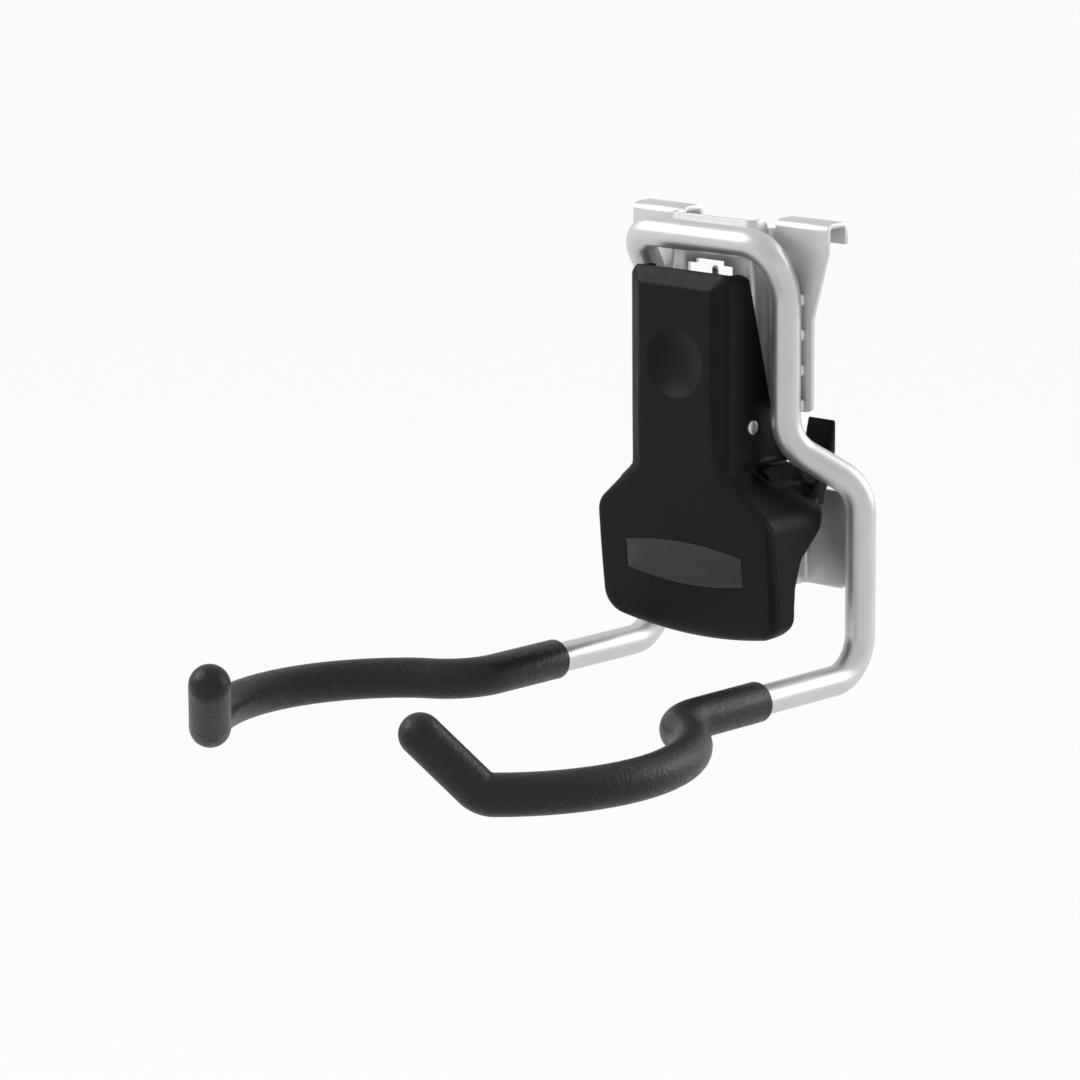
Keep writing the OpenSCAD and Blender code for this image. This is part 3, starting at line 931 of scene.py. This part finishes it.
@dataclass
class LeverCover:
    """The lever's front cover: a rim, an edge profile and a face that bends back below.

    Sizes are in millimetres and angles in degrees. The profiles give, from the rim to the
    face, the share of the way to the crease and the share of the height. The insets are
    the widths of the edge where each stretch begins.
    """

    rows: RimRows = RimRows()
    half_width: float = 20.1
    top_z: float = -13.7
    top_r: float = 3.5
    crease_x: float = 14.6
    crease_top: float = 4.8
    crease_r: float = 0.6
    crease_settle: float = 14.0
    crease_spread: float = 1.1
    spread_z: float = -50.0
    dimple_band: Pair = (-30.0, -55.2)
    neck_z: float = -75.6
    neck_r: float = 4.0
    neck_kind: float = -0.35
    neck_inset: float = 4.4
    shoulder: float = 41.5
    shoulder_inset: float = 2.9
    low_half_width: float = 35.6
    low_r: float = 8.0
    low_inset: float = 1.7
    low_bow: float = 0.15
    shoulder_low_z: float = -94.7
    foot_inset: float = 3.2
    bottom_z: float = -130.8
    bottom_r: float = 161.7
    bottom_inset: float = 4.8
    rim_y: float = -27.7
    rim_bend_z: float = -76.0
    rim_slope: float = 0.1175
    back_dent: float = 0.2
    face_y: float = -31.2
    face_bend: Pair = (-54.0, -66.0)
    face_tilt: float = 5.5
    dimple_z: float = -42.5
    dimple_r: float = 11.2
    dimple_depth: float = 2.6
    dimple_soft: float = 1.3
    spine: Pair = (-26.0, -112.0)
    face_rings: int = 26
    back_rings: int = 3
    block_reach: float = 60.0
    block_z: Pair = (-160.0, 30.0)
    block_gap: float = 0.1
    side_profile: tuple[Pair, ...] = (
        (0.045, -0.06), (0, 0.02), (0, 0.08), (0.05, 0.16), (0.22, 0.39), (0.27, 0.45),
        (0.34, 0.5), (0.85, 0.86), (0.96, 0.945), (1.06, 0.985), (1.2, 1))
    top_profile: tuple[Pair, ...] = (
        (0.05, -0.06), (0, 0.02), (0, 0.07), (0.05, 0.14), (0.2, 0.28), (0.3, 0.37),
        (0.4, 0.46), (0.85, 0.87), (0.96, 0.95), (1.06, 0.985), (1.2, 1))
    low_profile: tuple[Pair, ...] = (
        (0.14, -0.06), (0, 0.02), (0, 0.12), (0.04, 0.28), (0.13, 0.48), (0.22, 0.62),
        (0.36, 0.76), (0.62, 0.9), (0.84, 0.96), (1.1, 0.99), (1.5, 1))

    def depth_of_rim(self, z: float) -> float:
        """Gives the rim's y at a height."""
        return self.rim_y + self.rim_slope * max(0.0, self.rim_bend_z - z)

    def depth_of_face(self, z: float) -> float:
        """Gives the flat face's y at a height.

        Args:
            z: The height.

        Returns:
            The face's y.
        """
        start, end = self.face_bend
        below, span = max(0.0, start - z), start - end
        reach = below * below / (2 * span) if below < span else below - span / 2
        return self.face_y + reach * math.tan(math.radians(self.face_tilt))

    def dimple(self, x: float, z: float) -> float:
        """Gives how deep the thumb dimple is, with a softened brim.

        Args:
            x: The place's x.
            z: The place's z.

        Returns:
            The depth.
        """
        far = math.hypot(x, z - self.dimple_z)
        bowl = self.dimple_depth * (1 - (far / self.dimple_r) ** 2)
        soft = self.dimple_soft * self.dimple_depth / self.dimple_r * 0.5
        raised = (bowl + math.sqrt(bowl * bowl + soft * soft)) / 2
        return raised - soft * soft / (4 * (abs(bowl) + soft))

    def arc(
            self, centre: Vector, radius: float, start: float, end: float, count: int,
    ) -> list[Vector]:
        """Lists points of an arc, without its last one.

        Args:
            centre: Its centre in x and z.
            radius: Its radius.
            start: The angle of its first point.
            end: The angle where the next part starts.
            count: How many points.

        Returns:
            The points, as x and z.
        """
        turns = [math.radians(start + (end - start) * share) for share in shares(count)]
        return [centre + radius * Vector((math.cos(t), math.sin(t))) for t in turns]

    def upper_rim(self) -> list[RimPoint]:
        """Lists the rim's right half from the middle of the top down to the neck.

        Returns:
            The points.
        """
        rows = self.rows
        crease_z = self.top_z - self.crease_top
        corner = Vector((self.crease_x - self.crease_r, crease_z - self.crease_r))
        flat, side_top = self.half_width - self.top_r, self.top_z - self.top_r
        points = [
            RimPoint(Vector((flat * s, self.top_z)), Vector((corner.x * s, crease_z)), 1)
            for s in shares(rows.top)]
        rims = self.arc(Vector((flat, side_top)), self.top_r, 90, 0, rows.corner)
        creases = self.arc(corner, self.crease_r, 90, 0, rows.corner)
        points += [
            RimPoint(rim, crease, 1 - s)
            for s, rim, crease in zip(shares(rows.corner), rims, creases)]
        high, low = self.dimple_band
        heights = [side_top + (high - side_top) * s for s in shares(rows.above_dimple)]
        heights += [high + (low - high) * s for s in shares(rows.beside_dimple)]
        heights += [low + (self.neck_z - low) * s for s in shares(rows.below_dimple)]
        for z in heights:
            drop = (side_top - corner.y) * max(0.0, 1 - (side_top - z) / self.crease_settle)
            spread = max(0.0, (self.spread_z - z) / (self.spread_z - self.neck_z))
            crease_x = self.crease_x + self.crease_spread * spread
            points.append(RimPoint(
                Vector((self.half_width, z)), Vector((crease_x, z - drop)), 0))
        return points

    def shoulder_rim(self) -> list[RimPoint]:
        """Lists the rim's right half from the neck over the shoulder to the low side.

        Returns:
            The points.
        """
        rows = self.rows
        neck = Vector((self.half_width + self.neck_r, self.neck_z))
        turn = 270 - self.shoulder
        rims = self.arc(neck, self.neck_r, 180, turn, rows.neck)
        points = [
            RimPoint(
                rim, rim + (rim - neck).normalized()
                * (self.neck_inset + (self.shoulder_inset - self.neck_inset) * s),
                self.neck_kind * s)
            for s, rim in zip(shares(rows.neck), rims)]
        low = Vector((self.low_half_width - self.low_r, self.shoulder_low_z))
        last = self.arc(low, self.low_r, 90 - self.shoulder, 0, rows.low_corner)
        first = self.arc(neck, self.neck_r, turn, 0, 1)[0]
        inward = (first - neck).normalized()
        for s in shares(rows.shoulder):
            rim = first.lerp(last[0], s)
            inset = self.shoulder_inset + (self.low_inset - self.shoulder_inset) * s
            points.append(RimPoint(
                rim, rim + inward * inset, self.neck_kind - (1 + self.neck_kind) * s))
        return points + [
            RimPoint(rim, rim.lerp(low, self.low_inset / self.low_r), -1) for rim in last]

    def lower_rim(self) -> list[RimPoint]:
        """Lists the rim's right half from the low side to the middle of the bottom.

        Returns:
            The points.
        """
        rows = self.rows
        low_x = self.low_half_width - self.low_r
        arch = Vector((0, self.bottom_z + self.bottom_r))
        fall = math.sqrt((self.bottom_r - self.low_r) ** 2 - low_x ** 2)
        foot = Vector((low_x, arch.y - fall))
        points = []
        for s in shares(rows.low_side):
            z = self.shoulder_low_z + (foot.y - self.shoulder_low_z) * s
            x = self.low_half_width + self.low_bow * math.sin(math.pi * s)
            points.append(RimPoint(Vector((x, z)), Vector((x - self.low_inset, z)), -1))
        turn = math.degrees(math.atan2(fall, foot.x))
        for centre, radius, start, end, count, insets in (
                (foot, self.low_r, 0, -turn, rows.foot, (self.low_inset, self.foot_inset)),
                (arch, self.bottom_r, -turn, -90, rows.bottom,
                 (self.foot_inset, self.bottom_inset))):
            rims = self.arc(centre, radius, start, end, count)
            for s, rim in zip(shares(count), rims):
                inset = insets[0] + (insets[1] - insets[0]) * s
                points.append(RimPoint(rim, rim.lerp(centre, inset / radius), -1))
        bottom = Vector((0, self.bottom_z))
        return points + [RimPoint(bottom, bottom + Vector((0, self.bottom_inset)), -1)]

    def rim_points(self) -> list[RimPoint]:
        """Lists the whole rim: the right half and its mirror image.

        Returns:
            The points, in order round the rim.
        """
        half = self.upper_rim() + self.shoulder_rim() + self.lower_rim()
        flip = Vector((-1, 1))
        return half + [RimPoint(p.rim * flip, p.crease * flip, p.kind) for p in half[-2:0:-1]]

    def edge_ring(self, points: list[RimPoint], index: int) -> list[Vector]:
        """Places one ring of the edge profile.

        Args:
            points: The rim.
            index: Which step of the profiles.

        Returns:
            The ring's points.
        """
        ring = []
        for point in points:
            other = self.top_profile if point.kind > 0 else self.low_profile
            blend = abs(point.kind)
            along, up = (
                a + (b - a) * blend for a, b in zip(self.side_profile[index], other[index]))
            x, z = point.rim.lerp(point.crease, along)
            back = self.depth_of_rim(z)
            ring.append(Vector((x, back + up * (self.depth_of_face(z) - back), z)))
        return ring

    def inner_ring(
            self, outer: list[Vector], share: float, depth: Callable[[float, float], float],
    ) -> list[Vector]:
        """Draws a ring in toward the upright line in the middle of the cover.

        Args:
            outer: The ring at the edge.
            share: How far in it goes, from 0 to 1.
            depth: Gives y at a place in x and z.

        Returns:
            The ring's points.
        """
        ring = []
        for point in outer:
            goal = min(max(point.z, self.spine[1]), self.spine[0])
            x, z = point.x * (1 - share), point.z + (goal - point.z) * share
            ring.append(Vector((x, depth(x, z), z)))
        return ring

    def build(self) -> bpy.types.Object:
        """Draws the cover from its back rim forward and over the face.

        Returns:
            The closed cover.
        """
        points = self.rim_points()
        edges = [self.edge_ring(points, index) for index in range(len(self.side_profile))]
        skin = RingSkin("lever_cover", edges[0])
        skin.draw(*edges[1:])
        for i in range(1, self.face_rings + 1):
            skin.draw(self.inner_ring(
                edges[-1], i / self.face_rings,
                lambda x, z: self.depth_of_face(z) + self.dimple(x, z)))
        skin.seal()
        for i in range(1, self.back_rings + 1):
            skin.draw(self.inner_ring(
                edges[0], i / self.back_rings,
                lambda x, z: self.depth_of_rim(z) + self.back_dent))
        return skin.finish()

    def front_block(self, bent: bool) -> bpy.types.Object:
        """Adds a block that fills all that lies in front of the rim.

        Args:
            bent: Whether it follows the lower, leaning part of the rim.

        Returns:
            The block.
        """
        bpy.ops.object.select_all(action="DESELECT")
        bpy.ops.mesh.primitive_cube_add(size=2, location=(0, 0, 0))
        block = bpy.context.active_object
        for vertex in block.data.vertices:
            x, y, z = vertex.co
            z = self.block_z[1] if z > 0 else self.block_z[0]
            slope = self.rim_slope * (self.rim_bend_z - z) if bent else 0
            y = -self.block_reach if y < 0 else self.rim_y - self.block_gap + slope
            vertex.co = Vector((self.block_reach * x, y, z)) * MM
        return block


@dataclass
class BadgePanel:
    """The bare inlay of the lever's face: straight ends and two bowed long edges."""

    half_length: float = 23.8
    half_height: float = 4.65
    bow: float = 2.3
    bow_steps: int = 24
    middle_z: float = -106.8
    recess: float = 0.9
    gap: float = 0.12
    sink: float = 0.06
    edge_r: float = 0.16

    def outline(self, grow: float) -> list[Vector]:
        """Lists the outline.

        Args:
            grow: How far it is grown.

        Returns:
            The points, as x and z from the middle.
        """
        length, height = self.half_length + grow, self.half_height + grow
        top = []
        for i in range(self.bow_steps + 1):
            share = 1 - 2 * i / self.bow_steps
            top.append(Vector((length * share, height + self.bow * (1 - share * share))))
        half = top + [Vector((-length, height * level)) for level in (0.5, 0.0, -0.5)]
        return half + [-point for point in half]

    def ring(self, cover: LeverCover, grow: float, back: float) -> list[Vector]:
        """Places the outline on the face.

        Args:
            cover: The cover that it lies on.
            grow: How far it is grown.
            back: How far it lies behind the face.

        Returns:
            The ring's points.
        """
        return [
            Vector((p.x, cover.depth_of_face(self.middle_z + p.y) + back, self.middle_z + p.y))
            for p in self.outline(grow)]

    def solid(self, name: str, rings: list[list[Vector]]) -> bpy.types.Object:
        """Draws a closed plate through rings, each end filled with one face.

        Args:
            name: The new piece's name.
            rings: The rings, from the back to the front.

        Returns:
            The plate.
        """
        skin = RingSkin(name, rings[0])
        skin.draw(*rings[1:])
        for _ in range(2):
            select_edges(skin.piece, lambda edge: edge.is_boundary)
            bpy.ops.mesh.edge_face_add()
        return skin.finish()

    def cutter(self, cover: LeverCover) -> bpy.types.Object:
        """Builds the shape of the recess."""
        return self.solid("badge_recess", [
            self.ring(cover, self.gap, self.recess), self.ring(cover, self.gap, -1)])

    def build(self, cover: LeverCover) -> bpy.types.Object:
        """Builds the panel with a rounded front edge.

        Args:
            cover: The cover that it lies on.

        Returns:
            The panel.
        """
        r, corner = self.edge_r, 0.3 * self.edge_r
        steps = ((0.0, self.recess), (0.0, self.sink + r), (-corner, self.sink + corner),
                 (-r, self.sink))
        return self.solid("bare_panel", [self.ring(cover, grow, back) for grow, back in steps])


@dataclass
class LatchLever:
    """The moulded lever with its cover, its bare panel and its pin, in millimetres."""

    cover: LeverCover
    panel: BadgePanel
    top_r: float = 3.2
    corner_band: Pair = (19.5, 20.2)
    corner_z: float = -14.8
    corner_length: float = 1.0
    grain: float = 0.52
    rounding: int = 8
    pin_edge_r: float = 0.3
    liner_middle: Triple = (25.6, -7.5, -84.0)
    liner_size: Triple = (15.5, 18.0, 2.6)
    liner_turn: float = 42.7

    def add_liners(self, piece: bpy.types.Object) -> None:
        """Thickens the sloping walls of the shoulders on the inside.

        Args:
            piece: The lever's moulding.
        """
        liners = []
        for side in (1, -1):
            bpy.ops.object.select_all(action="DESELECT")
            bpy.ops.mesh.primitive_cube_add(
                size=MM, scale=self.liner_size,
                location=Vector((side * self.liner_middle[0], *self.liner_middle[1:])) * MM,
                rotation=(0, side * math.radians(self.liner_turn), 0))
            apply_place()
            liners.append(bpy.context.active_object)
        join(piece, *liners)

    def round_top_corners(self, piece: bpy.types.Object) -> None:
        """Rounds the two upper corners of the hood behind the cover.

        Args:
            piece: The lever's moulding.
        """
        near, far = self.corner_band
        with editing(piece):
            select_edges(piece, lambda edge: edge.calc_length() > self.corner_length * MM and all(
                near * MM < abs(v.co.x) < far * MM and v.co.z > self.corner_z * MM
                for v in edge.verts))
            bpy.ops.mesh.bevel(offset=self.top_r * MM, segments=6, affect="EDGES")

    def moulding(self) -> bpy.types.Object:
        """Builds the moulding: the cover in front, and the hood and jaws behind it.

        Returns:
            The moulding.
        """
        piece = copy_of_node("latch_lever", "latch_moulding")
        for bent in (False, True):
            cut_away(piece, self.cover.front_block(bent))
        self.round_top_corners(piece)
        self.add_liners(piece)
        apply_modifier(piece, "REMESH", mode="VOXEL", voxel_size=self.grain * MM)
        apply_modifier(piece, "SMOOTH", factor=0.5, iterations=self.rounding)
        smooth(piece, angle=60)
        front = self.cover.build()
        cut_away(front, self.panel.cutter(self.cover))
        smooth(front, angle=30)
        join(piece, front)
        return piece

    def build(self) -> list[bpy.types.Object]:
        """Builds the lever's three pieces.

        Returns:
            The moulding, the panel and the pin.
        """
        moulding = self.moulding()
        finish_piece(moulding, BLACK_MOULDING, Body.LEVER, "latch_lever")
        panel = self.panel.build(self.cover)
        smooth(panel, angle=40)
        finish_piece(panel, GREY_PANEL, Body.LEVER, "badge_panel")
        pin = copy_of_node("pivot_pin", "lever_pin")
        break_edges(pin, self.pin_edge_r)
        finish_piece(pin, BRIGHT_PIN, Body.LEVER, "pivot_pin")
        return [moulding, panel, pin]


@dataclass
class LatchSpring:
    """The double torsion spring on the pin, wound from one wire.

    Sizes are in millimetres. The leg's points count from the loop's leg at the pin's height.
    """

    wire_r: float = 0.6
    pin_y: float = -16.5
    pin_z: float = -62.5
    coil_r: float = 3.0
    coil_out: float = 14.3
    coil_pitch: float = 1.26
    coil_steps: int = 24
    turns: int = 4
    leg_x: float = 0.66
    leg_y: float = -15.2
    lead: Triple = (-0.4, -0.1, 3.0)
    leg: tuple[Triple, ...] = ((3.4, -3.2, 13.0), (0.4, -0.6, 22.0), (0.0, 0.0, 27.0))
    hook: tuple[Pair, ...] = (
        (-15.2, -24.2), (-14.9, -22.6), (-14.1, -21.3), (-12.9, -20.6), (-11.9, -19.9),
        (-11.4, -18.8), (-11.3, -17.4), (-11.3, -15.4))
    hook_steps: int = 6
    rest_z: float = -48.5
    rest_y: float = -27.6
    rest_share: float = 0.8
    rest_points: int = 4
    sides: int = 12

    def coil_point(self, step: int) -> Vector:
        """Gives a point of the right coil.

        Args:
            step: How many steps it lies from the coil's outer end.

        Returns:
            The point.
        """
        turned = step / self.coil_steps
        angle = math.pi + math.tau * turned
        return Vector((
            self.coil_out - self.coil_pitch * turned,
            self.pin_y + self.coil_r * math.cos(angle),
            self.pin_z + self.coil_r * math.sin(angle)))

    def short_leg(self) -> list[Vector]:
        """Lists the right leg that presses on the cover, with the start of its coil.

        Returns:
            The points.
        """
        start = Vector((self.coil_out, self.rest_y, self.rest_z))
        path = [start, start.lerp(self.coil_point(0), self.rest_share)]
        return path + [self.coil_point(i) for i in range(self.rest_points)]

    def long_leg(self) -> list[Vector]:
        """Lists the right coil and the leg up to the loop in the slot, which ends at x = 0.

        Returns:
            The points.
        """
        path = [self.coil_point(i) for i in range(self.turns * self.coil_steps + 1)]
        path.append(path[-1] + Vector(self.lead))
        start = Vector((self.leg_x, self.leg_y, self.pin_z))
        path += [start + Vector(point) for point in self.leg]
        path += [Vector((self.leg_x, y, z)) for y, z in self.hook]
        last_y, last_z = self.hook[-1]
        for i in range(1, self.hook_steps + 1):
            turn = math.pi / 2 * i / self.hook_steps
            path.append(Vector((
                self.leg_x * math.cos(turn), last_y, last_z + self.leg_x * math.sin(turn))))
        return path

    def rings(self, path: list[Vector]) -> list[list[Vector]]:
        """Places the wire's rings along a path without twisting it.

        Args:
            path: The right half's points.

        Returns:
            The rings.
        """
        ahead = (path[1] - path[0]).normalized()
        side = ahead.orthogonal().normalized()
        turns = [math.tau * share for share in shares(self.sides)]
        rings = []
        for i, point in enumerate(path):
            before, after = path[max(i - 1, 0)], path[min(i + 1, len(path) - 1)]
            now = (after - before).normalized()
            if abs(point.x) < ON_MIDDLE:
                now = Vector((-1, 0, 0))
            side = ahead.rotation_difference(now) @ side
            ahead = now
            up = ahead.cross(side)
            rings.append([
                point + self.wire_r * (side * math.cos(t) + up * math.sin(t)) for t in turns])
        return rings

    def wire(self, name: str, path: list[Vector]) -> bpy.types.Object:
        """Draws wire along a path and mirrors it. An end in the middle plane stays open.

        Args:
            name: The new piece's name.
            path: The right half's points.

        Returns:
            The piece.
        """
        rings = self.rings(path)
        skin = RingSkin(name, rings[0])
        skin.draw(*rings[1:])
        for end in (path[0], path[-1]):
            if end.x > ON_MIDDLE:
                select_edges(skin.piece, lambda edge: edge.is_boundary and all(
                    (v.co - end * MM).length < 2 * self.wire_r * MM for v in edge.verts))
                bpy.ops.mesh.edge_face_add()
        piece = skin.finish()
        mirror(piece, 0.02)
        smooth(piece, angle=50)
        return piece

    def build(self) -> list[bpy.types.Object]:
        """Draws the coils with the long leg, and the short legs that turn with the lever.

        Returns:
            The two pieces.
        """
        coils = self.wire("latch_spring", self.long_leg())
        finish_piece(coils, SPRING_WIRE, Body.HOOK, "torsion_spring")
        legs = self.wire("latch_spring_legs", self.short_leg())
        finish_piece(legs, SPRING_WIRE, Body.LEVER)
        return [coils, legs]


@dataclass(frozen=True)
class Lamp:
    """A square lamp: its place from the target and its side in metres, its power in watts."""

    name: str
    offset: Triple
    size: float
    power: float


@dataclass
class Studio:
    """Camera, lamps, world and floor, in metres and degrees."""

    camera_place: Triple = (0.93173, -1.10155, 0.21435)
    azimuth: float = 42.731
    pitch: float = 12.430
    roll: float = -0.438
    lens: float = 154.89
    floor_z: float = -0.42
    floor_size: float = 16.0
    floor_colour: Triple = grey(0.9)
    floor_shown: float = 0.94
    world_level: float = 0.32
    target: Triple = (0.0, -0.07, -0.07)
    lamps: tuple[Lamp, ...] = (
        Lamp("key_lamp", (-1.08, -0.88, 1.05), 1.1, 17.0),
        Lamp("fill_lamp", (0.76254, 1.38511, 0.5), 1.0, 10.0))

    def build(self) -> None:
        """Builds the whole studio."""
        self.add_camera()
        self.add_world()
        self.add_floor()
        for lamp in self.lamps:
            self.add_lamp(lamp)
        bpy.context.scene.view_settings.view_transform = "Standard"

    def add_camera(self) -> None:
        """Adds the camera at the photograph's angle."""
        data = bpy.data.cameras.new("camera")
        data.lens = self.lens
        data.clip_start = 0.01
        camera = bpy.data.objects.new("camera", data)
        bpy.context.scene.collection.objects.link(camera)
        turn = Matrix.Identity(3)
        for angle, axis in ((self.azimuth, "Z"), (90 - self.pitch, "X"), (self.roll, "Z")):
            turn = turn @ Matrix.Rotation(math.radians(angle), 3, axis)
        camera.rotation_euler = turn.to_euler()
        camera.location = self.camera_place
        bpy.context.scene.camera = camera

    def add_world(self) -> None:
        """Makes a world that lights plainly and looks white."""
        world = bpy.data.worlds.new("studio_world")
        bpy.context.scene.world = world
        board = NodeBoard(world)
        light = board.add("Background")
        board.link(board.by_ray(self.world_level, 1.0), light.inputs["Strength"])
        output = board.add("OutputWorld")
        board.link(light.outputs[0], output.inputs["Surface"])

    def add_floor(self) -> None:
        """Adds a pale floor that keeps the object's shadow."""
        bpy.ops.object.select_all(action="DESELECT")
        bpy.ops.mesh.primitive_plane_add(size=self.floor_size, location=(0, 0, self.floor_z))
        floor = bpy.context.active_object
        floor.name = "studio_floor"
        apply_place()
        material = bpy.data.materials.new("studio_floor")
        board = NodeBoard(material)
        matt = board.add("BsdfDiffuse", Color=(*self.floor_colour, 1))
        glow = board.add("Emission", Strength=1.0)
        mix = board.add("MixShader")
        board.link(board.by_ray(0.0, self.floor_shown), mix.inputs[0])
        board.link(matt.outputs[0], mix.inputs[1])
        board.link(glow.outputs[0], mix.inputs[2])
        output = board.add("OutputMaterial")
        board.link(mix.outputs[0], output.inputs["Surface"])
        floor.data.materials.append(material)

    def add_lamp(self, lamp: Lamp) -> None:
        """Adds a square lamp that points at the object.

        Args:
            lamp: The lamp.
        """
        data = bpy.data.lights.new(lamp.name, "AREA")
        data.size = lamp.size
        data.energy = lamp.power
        light = bpy.data.objects.new(lamp.name, data)
        light.location = Vector(self.target) + Vector(lamp.offset)
        light.rotation_euler = (-Vector(lamp.offset)).to_track_quat("-Z", "Y").to_euler()
        bpy.context.scene.collection.objects.link(light)


def main() -> None:
    """Builds the pieces and the studio."""
    logging.basicConfig(level=logging.INFO, format="%(name)s: %(message)s")
    path = RodPath()
    assemblies = (
        RodCradle(path), Grips(path), Bracket(), WeldBeads(),
        LatchLever(LeverCover(), BadgePanel()), LatchSpring())
    for assembly in assemblies:
        for piece in assembly.build():
            LOG.info("%s: %d faces", piece.name, len(piece.data.polygons))
    Studio().build()


if __name__ == "__main__":
    main()
